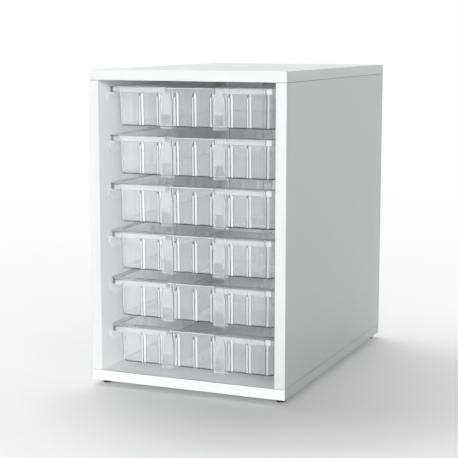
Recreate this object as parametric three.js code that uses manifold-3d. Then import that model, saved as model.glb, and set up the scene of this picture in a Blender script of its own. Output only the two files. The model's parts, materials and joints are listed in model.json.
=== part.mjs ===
// Classroom tray storage unit: a white board carcass with clear trays that slide on side runners.
// Millimetres, +Z up, origin on the floor in the middle of the footprint, front towards -Y.

import * as THREE from "three";
import { mergeVertices } from "three/addons/utils/BufferGeometryUtils.js";
import Module from "manifold-3d";

const wasm = await Module();
wasm.setup();

// Carcass boards
const carcassWidth = 353;
const carcassDepth = 538;
const carcassHeight = 532;
const boardThickness = 18;
const edgingThickness = 1;
const edgingReveal = 0.6;
const backThickness = 8;
const backInset = 10;
const grooveDepth = 8;

// Dowels in the four corner joints
const dowelDiameter = 8;
const dowelLength = 30;
const dowelDepthInCap = 11;
const dowelsPerJoint = 4;
const dowelFrontMargin = 60;
const dowelRearMargin = 70;

// Runners
const runnerHeight = 20.5;
const runnerPlateThickness = 3;
const runnerLedgeGap = 2;
const runnerLedgeThickness = 3;
const runnerFrontInset = 29.3;
const runnerRearGap = 10.7;
const runnerChamferRun = 10.5;
const runnerChamferRise = 8.5;
const pegDiameter = 8;
const pegLength = 10;
const pegEndMargin = 64;
const pegDrop = 11;

// Trays
const trayCount = 6;
const trayGap = 12;
const topTrayGap = 9.9;
const bottomTrayGap = 6.1;
const traySideGap = 2.5;
const trayFrontInset = 17;
const trayRearGap = 3;
const trayWall = 2.2;
const rimHeight = 10.4;
const rimCornerRadius = 22;
const rimSideOverhang = 11.5;
const rimEndOverhang = 20.25;
const bodyCornerRadius = 16;
const bodySideDraft = 1;
const bodyEndDraft = 1.5;
const bodyLift = 2.5;
const bodyEdgeInset = 3;
const bodyEdgeRise = 4;
const gripWidth = 87;
const gripLedge = 13;
const gripDrop = 1.6;
const cornerSegments = 5;

// Ribs and pillars on the tray walls
const ribTopDrop = 15;
const endRibCount = 7;
const endRibMargin = 26.5;
const endRibWidth = 6.5;
const endRibProud = 1.5;
const sideRibCount = 13;
const sideRibMargin = 9.125;
const sideRibWidth = 16.25;
const sideRibProud = 1.2;
const pillarOffset = 48;
const pillarWidth = 23;
const pillarNeckWidth = 18;
const pillarProud = 7.5;
const pillarWall = 1.5;
const pillarShoulderDrop = 24;
const pillarNeckDrop = 14;
const windowWidth = 16;
const windowHeight = 21;
const windowLift = 3;

// Floor glides
const glideDiameter = 16;
const glideHeight = 9;
const glideBevel = 1;
const glideStemDiameter = 8;
const glideStemLength = 6;
const glideSideInset = 15.5;
const glideFrontInset = 24;
const glideRearInset = 20;

// Clearances: between flat faces that meet, and round pieces in holes, grooves and slides
const seatGap = 0.05;
const fitClearance = 0.3;

// How far a cut runs past a face, how deep a rib's root lies in its wall, and facets of round pieces
const cutReach = 2;
const rootDepth = 1;
const pegSegments = 10;
const glideSegments = 20;

// Inner sizes of the carcass, measured from the middle of its width, its front and its underside
const innerHalf = carcassWidth / 2 - boardThickness;
const jointMiddle = carcassWidth / 2 - boardThickness / 2;
const floorLevel = boardThickness;
const ceilingLevel = carcassHeight - boardThickness;
const backFront = carcassDepth - backInset - backThickness;
const boardFront = edgingThickness + seatGap;

// Sizes of the trays and runners, which fill the carcass but for their gaps
const trayWidth = 2 * (innerHalf - traySideGap);
const trayDepth = backFront - trayRearGap - trayFrontInset;
const freeHeight = topTrayGap + bottomTrayGap + (trayCount - 1) * trayGap;
const trayHeight = (ceilingLevel - floorLevel - freeHeight) / trayCount;
const trayPitch = trayHeight + trayGap;
const topRunnerLevel = ceilingLevel - topTrayGap - rimHeight - fitClearance;
const runnerLength = backFront - runnerRearGap - runnerFrontInset;
const runnerLedgeWidth = traySideGap + rimSideOverhang - runnerLedgeGap;

const white = { color: 0xf2f3f3, roughness: 0.45, metalness: 0 };
const finishes = {
  board: new THREE.MeshStandardMaterial(white),
  edging: new THREE.MeshStandardMaterial({ ...white, color: 0xf6f6f6 }),
  dowel: new THREE.MeshStandardMaterial({ color: 0xc9a77a, roughness: 0.8, metalness: 0 }),
  runner: new THREE.MeshStandardMaterial({ color: 0xe9ebeb, roughness: 0.5, metalness: 0 }),
  tray: new THREE.MeshStandardMaterial({
    color: 0xe4e8e9,
    roughness: 0.12,
    metalness: 0,
    transparent: true,
    opacity: 0.4,
  }),
  glide: new THREE.MeshStandardMaterial({ color: 0x17181a, roughness: 0.6, metalness: 0 }),
};

// A closed geometry as a solid that can be joined and cut.
function solidFrom(geometry) {
  const bare = geometry.clone();
  bare.deleteAttribute("normal");
  bare.deleteAttribute("uv");
  const merged = mergeVertices(bare);
  const corners = merged.index.array;
  const kept = [];
  for (let i = 0; i < corners.length; i += 3) {
    const [a, b, c] = corners.slice(i, i + 3);
    if (a !== b && b !== c && c !== a) {
      kept.push(a, b, c);
    }
  }
  return new wasm.Manifold(
    new wasm.Mesh({
      numProp: 3,
      vertProperties: new Float32Array(merged.attributes.position.array),
      triVerts: new Uint32Array(kept),
    }),
  );
}

// A solid as a geometry that a mesh can carry.
function geometryFrom(solid) {
  const { vertProperties, triVerts } = solid.getMesh();
  const geometry = new THREE.BufferGeometry();
  geometry.setAttribute("position", new THREE.BufferAttribute(new Float32Array(vertProperties), 3));
  geometry.setIndex(new THREE.BufferAttribute(new Uint32Array(triVerts), 1));
  geometry.computeVertexNormals();
  return geometry;
}

function joined(solids) {
  return solids.reduce((whole, piece) => whole.add(piece));
}

function cutBy(solid, tools) {
  return tools.reduce((rest, tool) => rest.subtract(tool), solid);
}

// A box from its low and high corners.
function boxBetween(low, high) {
  const sizes = high.map((value, axis) => value - low[axis]);
  const middle = high.map((value, axis) => (value + low[axis]) / 2);
  return new THREE.BoxGeometry(...sizes).translate(...middle);
}

// An upright rod between two levels.
function uprightRod(diameter, x, y, low, high) {
  const rod = new THREE.CylinderGeometry(diameter / 2, diameter / 2, high - low, pegSegments);
  return rod.rotateX(Math.PI / 2).translate(x, y, (low + high) / 2);
}

// A level rod along X between two places.
function crossRod(diameter, y, z, low, high) {
  const rod = new THREE.CylinderGeometry(diameter / 2, diameter / 2, high - low, pegSegments);
  return rod.rotateZ(Math.PI / 2).translate((low + high) / 2, y, z);
}

// An outline of [y, z] points carried along X.
function extrudeAlongX(points, low, high) {
  const shape = new THREE.Shape(points.map(([y, z]) => new THREE.Vector2(y, z)));
  const turn = new THREE.Matrix4().makeBasis(
    new THREE.Vector3(0, 1, 0),
    new THREE.Vector3(0, 0, 1),
    new THREE.Vector3(1, 0, 0),
  );
  const bar = new THREE.ExtrudeGeometry(shape, { depth: high - low, bevelEnabled: false });
  return bar.applyMatrix4(turn).translate(low, 0, 0);
}

// An outline of [x, z] points carried along Y.
function extrudeAlongY(points, low, high) {
  const shape = new THREE.Shape(points.map(([x, z]) => new THREE.Vector2(x, z)));
  const bar = new THREE.ExtrudeGeometry(shape, { depth: high - low, bevelEnabled: false });
  return bar.rotateX(Math.PI / 2).translate(0, high, 0);
}

// Evenly spaced places from the first to the last.
function spread(first, last, count) {
  const step = (last - first) / Math.max(count - 1, 1);
  return Array.from({ length: count }, (_, i) => first + i * step);
}

function addPiece(group, name, geometry, material) {
  const mesh = new THREE.Mesh(geometry, material);
  mesh.name = name;
  group.add(mesh);
  return mesh;
}

// Where the dowels and the runner pegs lie, for the pieces and for the holes that take them.
const dowelPlaces = spread(dowelFrontMargin, carcassDepth - dowelRearMargin, dowelsPerJoint);
const pegPlaces = [
  runnerFrontInset + pegEndMargin,
  runnerFrontInset + runnerLength - pegEndMargin,
];
const runnerLevels = Array.from({ length: trayCount }, (_, i) => topRunnerLevel - i * trayPitch);
const glidePlaces = { front: glideFrontInset, rear: carcassDepth - glideRearInset };
const sides = { left: -1, right: 1 };

// The span of a dowel across the joint at a level, up being the way into the cap panel.
function dowelSpan(level, up, clearance) {
  const inCap = level + up * (dowelDepthInCap + clearance);
  const inSide = level - up * (dowelLength - dowelDepthInCap + clearance);
  return [Math.min(inCap, inSide), Math.max(inCap, inSide)];
}

function dowelHoles(level, up, sign) {
  const [low, high] = dowelSpan(level, up, fitClearance);
  const bore = dowelDiameter + 2 * fitClearance;
  return dowelPlaces.map((y) => solidFrom(uprightRod(bore, sign * jointMiddle, y, low, high)));
}

// The groove for the back panel's edge in a cap panel.
function capGroove(level, up) {
  const reach = innerHalf + grooveDepth;
  const ends = [level - up * cutReach, level + up * grooveDepth];
  return solidFrom(
    boxBetween(
      [-reach, backFront - fitClearance, Math.min(...ends)],
      [reach, backFront + backThickness + fitClearance, Math.max(...ends)],
    ),
  );
}

// A top or bottom panel between its edging strips, grooved and bored on its inner face.
function capPanel(low, level, up) {
  const reach = carcassWidth / 2 - edgingThickness - seatGap;
  const board = boxBetween([-reach, boardFront, low], [reach, carcassDepth, low + boardThickness]);
  return cutBy(solidFrom(board), [
    capGroove(level, up),
    ...dowelHoles(level, up, sides.left),
    ...dowelHoles(level, up, sides.right),
  ]);
}

function glideHoles() {
  const bore = glideStemDiameter + 2 * fitClearance;
  const top = glideStemLength + fitClearance;
  const reach = carcassWidth / 2 - glideSideInset;
  return Object.values(sides).flatMap((sign) =>
    Object.values(glidePlaces).map((y) =>
      solidFrom(uprightRod(bore, sign * reach, y, -cutReach, top)),
    ),
  );
}

// A side panel with its back groove, dowel holes and runner peg holes.
function sidePanel(sign) {
  const across = [sign * innerHalf, sign * (carcassWidth / 2)];
  const board = boxBetween(
    [Math.min(...across), boardFront, floorLevel + seatGap],
    [Math.max(...across), carcassDepth, ceilingLevel - seatGap],
  );
  const grooveEnds = [sign * (innerHalf - cutReach), sign * (innerHalf + grooveDepth)];
  const groove = boxBetween(
    [Math.min(...grooveEnds), backFront - fitClearance, floorLevel - cutReach],
    [Math.max(...grooveEnds), backFront + backThickness + fitClearance, ceilingLevel + cutReach],
  );
  const pegEnds = [sign * (innerHalf - cutReach), sign * (innerHalf + pegLength + fitClearance)];
  const pegBore = pegDiameter + 2 * fitClearance;
  const pegHoles = runnerLevels.flatMap((level) =>
    pegPlaces.map((y) =>
      solidFrom(crossRod(pegBore, y, level - pegDrop, Math.min(...pegEnds), Math.max(...pegEnds))),
    ),
  );
  return cutBy(solidFrom(board), [
    solidFrom(groove),
    ...dowelHoles(ceilingLevel, 1, sign),
    ...dowelHoles(floorLevel, -1, sign),
    ...pegHoles,
  ]);
}

function backPanel() {
  const hold = grooveDepth - fitClearance;
  const reach = innerHalf + hold;
  return boxBetween(
    [-reach, backFront, floorLevel - hold],
    [reach, backFront + backThickness, ceilingLevel + hold],
  );
}

// The strips round a cap panel: one across the front, and one down each side behind it.
function addCapEdging(group, place, low, high) {
  const reach = carcassWidth / 2;
  const front = boxBetween([-reach, 0, low], [reach, edgingThickness, high]);
  addPiece(group, `${place}_front_edging`, front, finishes.edging);
  for (const [side, sign] of Object.entries(sides)) {
    const across = [sign * (reach - edgingThickness), sign * reach];
    const strip = boxBetween(
      [Math.min(...across), boardFront, low],
      [Math.max(...across), carcassDepth, high],
    );
    addPiece(group, `${place}_${side}_edging`, strip, finishes.edging);
  }
}

function addSideEdging(group, side, sign) {
  const across = [sign * innerHalf, sign * (carcassWidth / 2)];
  const strip = boxBetween(
    [Math.min(...across), 0, floorLevel + seatGap],
    [Math.max(...across), edgingThickness, ceilingLevel - seatGap],
  );
  addPiece(group, `${side}_front_edging`, strip, finishes.edging);
}

function addDowels(group, place, level, up) {
  const [low, high] = dowelSpan(level, up, 0);
  for (const [side, sign] of Object.entries(sides)) {
    dowelPlaces.forEach((y, i) => {
      const rod = uprightRod(dowelDiameter, 0, 0, low, high);
      const dowel = addPiece(group, `${place}_${side}_dowel_${i + 1}`, rod, finishes.dowel);
      dowel.position.set(sign * jointMiddle, y, 0);
    });
  }
}

function makeCarcass() {
  const carcass = new THREE.Group();
  const topPanel = capPanel(ceilingLevel, ceilingLevel, 1);
  const bottomPanel = cutBy(capPanel(0, floorLevel, -1), glideHoles());
  addPiece(carcass, "top_panel", geometryFrom(topPanel), finishes.board);
  addPiece(carcass, "bottom_panel", geometryFrom(bottomPanel), finishes.board);
  addPiece(carcass, "back_panel", backPanel(), finishes.board);
  for (const [side, sign] of Object.entries(sides)) {
    addPiece(carcass, `${side}_side_panel`, geometryFrom(sidePanel(sign)), finishes.board);
    addSideEdging(carcass, side, sign);
  }
  addCapEdging(carcass, "top", ceilingLevel + edgingReveal, carcassHeight);
  addCapEdging(carcass, "bottom", 0, floorLevel - edgingReveal);
  addDowels(carcass, "top", ceilingLevel, 1);
  addDowels(carcass, "bottom", floorLevel, -1);
  return carcass;
}

// A runner on one side: its front at Y 0, its top at Z 0, its plate against the board at X 0.
function runnerGeometry(sign) {
  const plateEnds = [-sign * seatGap, -sign * (seatGap + runnerPlateThickness)];
  const plate = extrudeAlongX(
    [
      [0, 0],
      [runnerLength, 0],
      [runnerLength, -runnerHeight],
      [runnerChamferRun, -runnerHeight],
      [0, runnerChamferRise - runnerHeight],
    ],
    Math.min(...plateEnds),
    Math.max(...plateEnds),
  );
  const ledgeEnds = [-sign * seatGap, -sign * (seatGap + runnerLedgeWidth)];
  const ledge = boxBetween(
    [Math.min(...ledgeEnds), 0, -runnerLedgeThickness],
    [Math.max(...ledgeEnds), runnerLength, 0],
  );
  const pegEnds = [-sign * (seatGap + runnerPlateThickness / 2), sign * pegLength];
  const pegs = pegPlaces.map((y) =>
    crossRod(pegDiameter, y - runnerFrontInset, -pegDrop, Math.min(...pegEnds), Math.max(...pegEnds)),
  );
  return geometryFrom(joined([plate, ledge, ...pegs].map(solidFrom)));
}

function makeRunners() {
  const runners = new THREE.Group();
  for (const [side, sign] of Object.entries(sides)) {
    const geometry = runnerGeometry(sign);
    runnerLevels.forEach((level, i) => {
      const runner = addPiece(runners, `${side}_runner_${i + 1}`, geometry, finishes.runner);
      runner.position.set(sign * innerHalf, runnerFrontInset, level);
    });
  }
  return runners;
}

// Levels of a tray above its lowest point, which the pillars' ends form.
const rimUnder = trayHeight - trayWall;
const skirtFoot = trayHeight - rimHeight;
const trayFloor = bodyLift + trayWall;
const wallFoot = bodyLift + bodyEdgeRise;

// Rounded outlines of a tray about its middle.
function inset(outline, by) {
  return {
    halfWidth: outline.halfWidth - by,
    halfDepth: outline.halfDepth - by,
    radius: Math.max(outline.radius - by, by / 2),
  };
}

const rimOutline = {
  halfWidth: trayWidth / 2,
  halfDepth: trayDepth / 2,
  radius: rimCornerRadius,
};
const bodyTop = {
  halfWidth: trayWidth / 2 - rimSideOverhang,
  halfDepth: trayDepth / 2 - rimEndOverhang,
  radius: bodyCornerRadius,
};
const bodyFoot = {
  halfWidth: bodyTop.halfWidth - bodySideDraft,
  halfDepth: bodyTop.halfDepth - bodyEndDraft,
  radius: bodyCornerRadius,
};

function ring({ halfWidth, halfDepth, radius }, level) {
  const quarters = [
    [1, -1],
    [1, 1],
    [-1, 1],
    [-1, -1],
  ];
  return quarters.flatMap(([x, y], quarter) =>
    spread(0, 1, cornerSegments + 1).map((part) => {
      const angle = ((quarter - 1 + part) * Math.PI) / 2;
      return new THREE.Vector3(
        x * (halfWidth - radius) + radius * Math.cos(angle),
        y * (halfDepth - radius) + radius * Math.sin(angle),
        level,
      );
    }),
  );
}

// A closed skin over rings of equal length, with the first and the last one filled.
function loft(rings) {
  const count = rings[0].length;
  const points = rings.flat();
  const faces = [];
  const addFan = (start, reversed) => {
    const hub = points.length;
    points.push(new THREE.Vector3(0, 0, points[start].z));
    for (let i = 0; i < count; i += 1) {
      const pair = [start + i, start + ((i + 1) % count)];
      faces.push(hub, ...(reversed ? pair.reverse() : pair));
    }
  };
  for (let level = 0; level + 1 < rings.length; level += 1) {
    for (let i = 0; i < count; i += 1) {
      const a = level * count + i;
      const b = level * count + ((i + 1) % count);
      faces.push(a, b, b + count, a, b + count, a + count);
    }
  }
  addFan(0, true);
  addFan((rings.length - 1) * count, false);
  const geometry = new THREE.BufferGeometry().setFromPoints(points);
  geometry.setIndex(faces);
  return geometry;
}

// The open shell: outer wall, rim with its downturned skirt, inner wall and floor.
function trayShell() {
  const skirtInner = inset(rimOutline, trayWall);
  const innerTop = inset(bodyTop, trayWall);
  const innerFoot = inset(bodyFoot, trayWall);
  return loft([
    ring(inset(bodyFoot, bodyEdgeInset), bodyLift),
    ring(bodyFoot, wallFoot),
    ring(bodyTop, rimUnder),
    ring(skirtInner, rimUnder),
    ring(skirtInner, skirtFoot),
    ring(rimOutline, skirtFoot),
    ring(rimOutline, trayHeight),
    ring(innerTop, trayHeight),
    ring(innerFoot, wallFoot + trayWall),
    ring(inset(innerFoot, bodyEdgeInset), trayFloor),
  ]);
}

// How far the outer wall stands from the middle at a level, by the name of its half size.
function wallAt(half, level) {
  const part = (level - wallFoot) / (rimUnder - wallFoot);
  return THREE.MathUtils.lerp(bodyFoot[half], bodyTop[half], part);
}

// An upright rib's outline: out from the wall, with a sloped top.
function ribOutline(half, proud) {
  const top = trayHeight - ribTopDrop;
  return [
    [wallAt(half, top) - rootDepth, top],
    [wallAt(half, top), top],
    [wallAt(half, top - proud) + proud, top - proud],
    [wallAt(half, wallFoot) + proud, wallFoot],
    [wallAt(half, wallFoot) - rootDepth, wallFoot],
  ];
}

// The ribs of the front wall, and those of the right wall, between its rounded corners.
function endRibs() {
  const outline = ribOutline("halfDepth", endRibProud).map(([out, z]) => [-out, z]);
  const reach = bodyFoot.halfWidth - bodyFoot.radius - endRibMargin - endRibWidth / 2;
  return spread(-reach, reach, endRibCount).map((x) =>
    extrudeAlongX(outline, x - endRibWidth / 2, x + endRibWidth / 2),
  );
}

function sideRibs() {
  const outline = ribOutline("halfWidth", sideRibProud);
  const reach = bodyFoot.halfDepth - bodyFoot.radius - sideRibMargin - sideRibWidth / 2;
  return spread(-reach, reach, sideRibCount).map((y) =>
    extrudeAlongY(outline, y - sideRibWidth / 2, y + sideRibWidth / 2),
  );
}

// A pillar's outline seen from the front, or that of the hollow inside it: wide below, necked above.
function pillarSight(x, margin, low) {
  const half = pillarWidth / 2 - margin;
  const neckHalf = pillarNeckWidth / 2 - margin;
  const right = [
    [half, low],
    [half, trayHeight - pillarShoulderDrop],
    [neckHalf, trayHeight - pillarNeckDrop],
    [neckHalf, trayHeight],
  ];
  const left = right.map(([across, z]) => [-across, z]).reverse();
  return [...right, ...left].map(([across, z]) => [x + across, z]);
}

// A hollow pillar on the front wall, with a window through its face near the foot.
function pillar(x) {
  const face = -(bodyTop.halfDepth + pillarProud);
  const hollowTop = rimUnder - pillarWall;
  const prism = (side, sight) => {
    const bar = extrudeAlongX(side, x - pillarWidth, x + pillarWidth);
    return solidFrom(bar).intersect(solidFrom(extrudeAlongY(sight, face - cutReach, 0)));
  };
  const block = prism(
    [
      [face, 0],
      [face, rimUnder],
      [rootDepth - bodyTop.halfDepth, rimUnder],
      [rootDepth - bodyFoot.halfDepth, wallFoot],
      [rootDepth - bodyFoot.halfDepth + bodyEdgeInset, trayFloor - rootDepth],
      [rootDepth - bodyFoot.halfDepth + bodyEdgeInset, 0],
    ],
    pillarSight(x, 0, -cutReach),
  );
  const hollow = prism(
    [
      [face + pillarWall, wallFoot],
      [face + pillarWall, hollowTop],
      [-wallAt("halfDepth", hollowTop) - seatGap, hollowTop],
      [-wallAt("halfDepth", wallFoot) - seatGap, wallFoot],
    ],
    pillarSight(x, pillarWall, 0),
  );
  const window = boxBetween(
    [x - windowWidth / 2, face - cutReach, windowLift],
    [x + windowWidth / 2, face + pillarWall + rootDepth, windowLift + windowHeight],
  );
  return cutBy(block, [hollow, solidFrom(window)]);
}

// The gap in the front lip where a hand takes hold, with a low ledge in it, and the lip's closed ends.
function gripCuts() {
  const ledgeEdge = -bodyTop.halfDepth - gripLedge;
  const lip = boxBetween(
    [-gripWidth / 2, -trayDepth / 2 - cutReach, skirtFoot - cutReach],
    [gripWidth / 2, ledgeEdge, trayHeight + cutReach],
  );
  const top = boxBetween(
    [-gripWidth / 2, ledgeEdge - cutReach, trayHeight - gripDrop],
    [gripWidth / 2, trayWall + cutReach - bodyTop.halfDepth, trayHeight + cutReach],
  );
  return [lip, top];
}

function gripPlate() {
  return boxBetween(
    [-gripWidth / 2 - rootDepth, -bodyTop.halfDepth - gripLedge, trayHeight - gripDrop - trayWall],
    [gripWidth / 2 + rootDepth, rootDepth - bodyTop.halfDepth, trayHeight - gripDrop / 2],
  );
}

function lipEnds() {
  return Object.values(sides).map((sign) => {
    const across = [(sign * gripWidth) / 2, sign * (gripWidth / 2 + trayWall)];
    return boxBetween(
      [Math.min(...across), trayWall - rootDepth - trayDepth / 2, skirtFoot],
      [Math.max(...across), rootDepth - bodyTop.halfDepth, trayHeight - rootDepth],
    );
  });
}

// Both ends and both sides of a tray are alike, so the front and right features turn about its middle.
function trayGeometry() {
  const turned = (geometry) => geometry.clone().rotateZ(Math.PI);
  const withBoth = (geometries) => [...geometries, ...geometries.map(turned)].map(solidFrom);
  const pillars = [-pillarOffset, pillarOffset].map((x) => geometryFrom(pillar(x)));
  const features = [...lipEnds(), gripPlate(), ...endRibs(), ...sideRibs(), ...pillars];
  const whole = joined([solidFrom(trayShell()), ...withBoth(features)]);
  return geometryFrom(cutBy(whole, withBoth(gripCuts())));
}

function makeTrays() {
  const trays = new THREE.Group();
  const geometry = trayGeometry();
  runnerLevels.forEach((level, i) => {
    const tray = addPiece(trays, `tray_${i + 1}`, geometry, finishes.tray);
    const foot = level + fitClearance - skirtFoot;
    tray.position.set(0, trayFrontInset + trayDepth / 2, foot);
  });
  return trays;
}

// A push-in glide: a bevelled sole below the board and a stem in its hole.
function glideGeometry() {
  const sole = glideDiameter / 2;
  const stem = glideStemDiameter / 2;
  const seat = glideHeight - seatGap;
  const profile = [
    [0, 0],
    [sole - glideBevel, 0],
    [sole, glideBevel],
    [sole, seat],
    [stem, seat],
    [stem, seat + glideStemLength],
    [0, seat + glideStemLength],
  ].map(([r, z]) => new THREE.Vector2(r, z));
  const turned = new THREE.LatheGeometry(profile, glideSegments).rotateX(Math.PI / 2);
  return geometryFrom(solidFrom(turned));
}

function makeGlides() {
  const glides = new THREE.Group();
  const geometry = glideGeometry();
  for (const [side, sign] of Object.entries(sides)) {
    for (const [end, y] of Object.entries(glidePlaces)) {
      const glide = addPiece(glides, `${end}_${side}_glide`, geometry, finishes.glide);
      glide.position.set(sign * (carcassWidth / 2 - glideSideInset), y, -glideHeight);
    }
  }
  return glides;
}

const unit = new THREE.Group();
unit.name = "tray_storage_unit";
unit.add(makeCarcass(), makeRunners(), makeTrays(), makeGlides());
unit.position.set(0, -carcassDepth / 2, glideHeight);

export default unit;
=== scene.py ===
"""Looks of the classroom tray storage unit: board carcass, runners, clear trays, glides and studio."""

import json
import logging
import math
from dataclasses import dataclass, replace
from enum import Enum
from functools import partial
from typing import Callable, Sequence

import bmesh
import bpy
from bpy.types import Collection, ColorRamp, Material, Mesh, Node, NodeSocket, NodeTree, Object
from mathutils import Matrix, Vector

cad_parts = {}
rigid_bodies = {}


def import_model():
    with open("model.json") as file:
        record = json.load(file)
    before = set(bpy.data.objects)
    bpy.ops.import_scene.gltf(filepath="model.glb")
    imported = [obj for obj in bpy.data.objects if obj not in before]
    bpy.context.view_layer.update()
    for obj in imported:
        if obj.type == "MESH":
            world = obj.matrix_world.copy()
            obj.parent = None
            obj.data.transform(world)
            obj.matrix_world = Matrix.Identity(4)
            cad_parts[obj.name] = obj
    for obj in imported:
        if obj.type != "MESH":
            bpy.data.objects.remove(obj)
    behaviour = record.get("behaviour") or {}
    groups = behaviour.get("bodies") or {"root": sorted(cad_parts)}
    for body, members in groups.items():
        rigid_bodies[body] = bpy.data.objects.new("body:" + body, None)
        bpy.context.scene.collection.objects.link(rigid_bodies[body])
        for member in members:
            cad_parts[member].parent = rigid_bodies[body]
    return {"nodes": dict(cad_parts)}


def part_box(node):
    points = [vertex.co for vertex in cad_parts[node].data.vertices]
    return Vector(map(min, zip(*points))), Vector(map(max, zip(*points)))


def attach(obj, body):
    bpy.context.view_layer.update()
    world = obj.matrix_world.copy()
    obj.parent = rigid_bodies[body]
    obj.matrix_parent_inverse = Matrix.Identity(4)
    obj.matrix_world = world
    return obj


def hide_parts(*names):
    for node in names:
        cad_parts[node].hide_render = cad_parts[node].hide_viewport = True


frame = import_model()

log = logging.getLogger("tray_storage_unit")

PHOTO_WIDTH = 458
SHARP_EDGE = math.radians(38.0)
SOFTENED_EDGE = math.radians(40.0)
ROUNDING_STEPS = 2
LEAST_RADIUS = 0.001
NOISE_ROUGHNESS = 0.55
LEVEL_FADES = ((0.2, 1.0), (0.3, 0.0))
BACK_FADES = ((0.4, 1.0), (0.6, 0.0))


class Operation(Enum):
    """The Math node operations that shader expressions use."""

    ADD = "ADD"
    SUBTRACT = "SUBTRACT"
    MULTIPLY = "MULTIPLY"
    DIVIDE = "DIVIDE"
    POWER = "POWER"
    MAXIMUM = "MAXIMUM"


class Tone(Enum):
    """The tray's slots: clear plastic, painted dark lines, painted highlights, side walls and lips
    painted lighter, painted grey lines.
    """

    CLEAR = 0
    PAINTED_SHADE_LINE = 1
    EDGE = 2
    SIDE = 3
    PAINTED_LIP_LIGHT = 4
    PAINTED_GREY_LINE = 5


class Link(Enum):
    """Whether a lamp leaves out its listed pieces or lights them alone."""

    EXCLUDE = "EXCLUDE"
    INCLUDE = "INCLUDE"


class Axis(Enum):
    """The direction that a streaked finish runs in."""

    X = 0
    Y = 1
    Z = 2


class Value:
    """A number that changes over a surface, with arithmetic that adds Math nodes."""

    def __init__(self, graph: "Graph", socket: NodeSocket) -> None:
        """Hold a graph and one of its output sockets."""
        self.graph = graph
        self.socket = socket

    def _with(self, operation: Operation, first: "Value | float", second: "Value | float") -> "Value":
        """Join two operands in a Math node."""
        node = self.graph.add("ShaderNodeMath", {"operation": operation.value}, {0: first, 1: second})
        return Value(self.graph, node.outputs[0])

    def __add__(self, other: "Value | float") -> "Value":
        """Add a value or a number."""
        return self._with(Operation.ADD, self, other)

    def __radd__(self, other: float) -> "Value":
        """Add this to a number."""
        return self._with(Operation.ADD, other, self)

    def __sub__(self, other: "Value | float") -> "Value":
        """Take away a value or a number."""
        return self._with(Operation.SUBTRACT, self, other)

    def __rsub__(self, other: float) -> "Value":
        """Take this away from a number."""
        return self._with(Operation.SUBTRACT, other, self)

    def __mul__(self, other: "Value | float") -> "Value":
        """Multiply by a value or a number."""
        return self._with(Operation.MULTIPLY, self, other)

    def __rmul__(self, other: float) -> "Value":
        """Multiply a number by this."""
        return self._with(Operation.MULTIPLY, other, self)

    def __truediv__(self, other: "Value | float") -> "Value":
        """Divide by a value or a number."""
        return self._with(Operation.DIVIDE, self, other)

    def __rtruediv__(self, other: float) -> "Value":
        """Divide a number by this."""
        return self._with(Operation.DIVIDE, other, self)

    def __pow__(self, other: "Value | float") -> "Value":
        """Raise to a power."""
        return self._with(Operation.POWER, self, other)

    def __rpow__(self, other: float) -> "Value":
        """Raise a number to this power."""
        return self._with(Operation.POWER, other, self)

    def at_least(self, other: "Value | float") -> "Value":
        """Take the larger of this and another."""
        return self._with(Operation.MAXIMUM, self, other)


Colour = tuple[float, float, float]
Pairs = Sequence[tuple[float, float]]
Feed = Value | NodeSocket | float | Sequence[float]

WHITE: Colour = (1.0, 1.0, 1.0)


def quarter_turn(steps: int) -> list[float]:
    """Give the angles of a quarter turn in equal steps."""
    return [step / steps * math.pi / 2 for step in range(steps + 1)]


@dataclass(frozen=True)
class Grain:
    """Noise in a finish: its waves in a metre, finer layers and stretch, and the relief that it gives."""

    scale: float
    detail: float
    stretch: tuple[float, ...] = (1.0, 1.0, 1.0)
    depth: float = 0.0
    strength: float = 0.0


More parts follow.
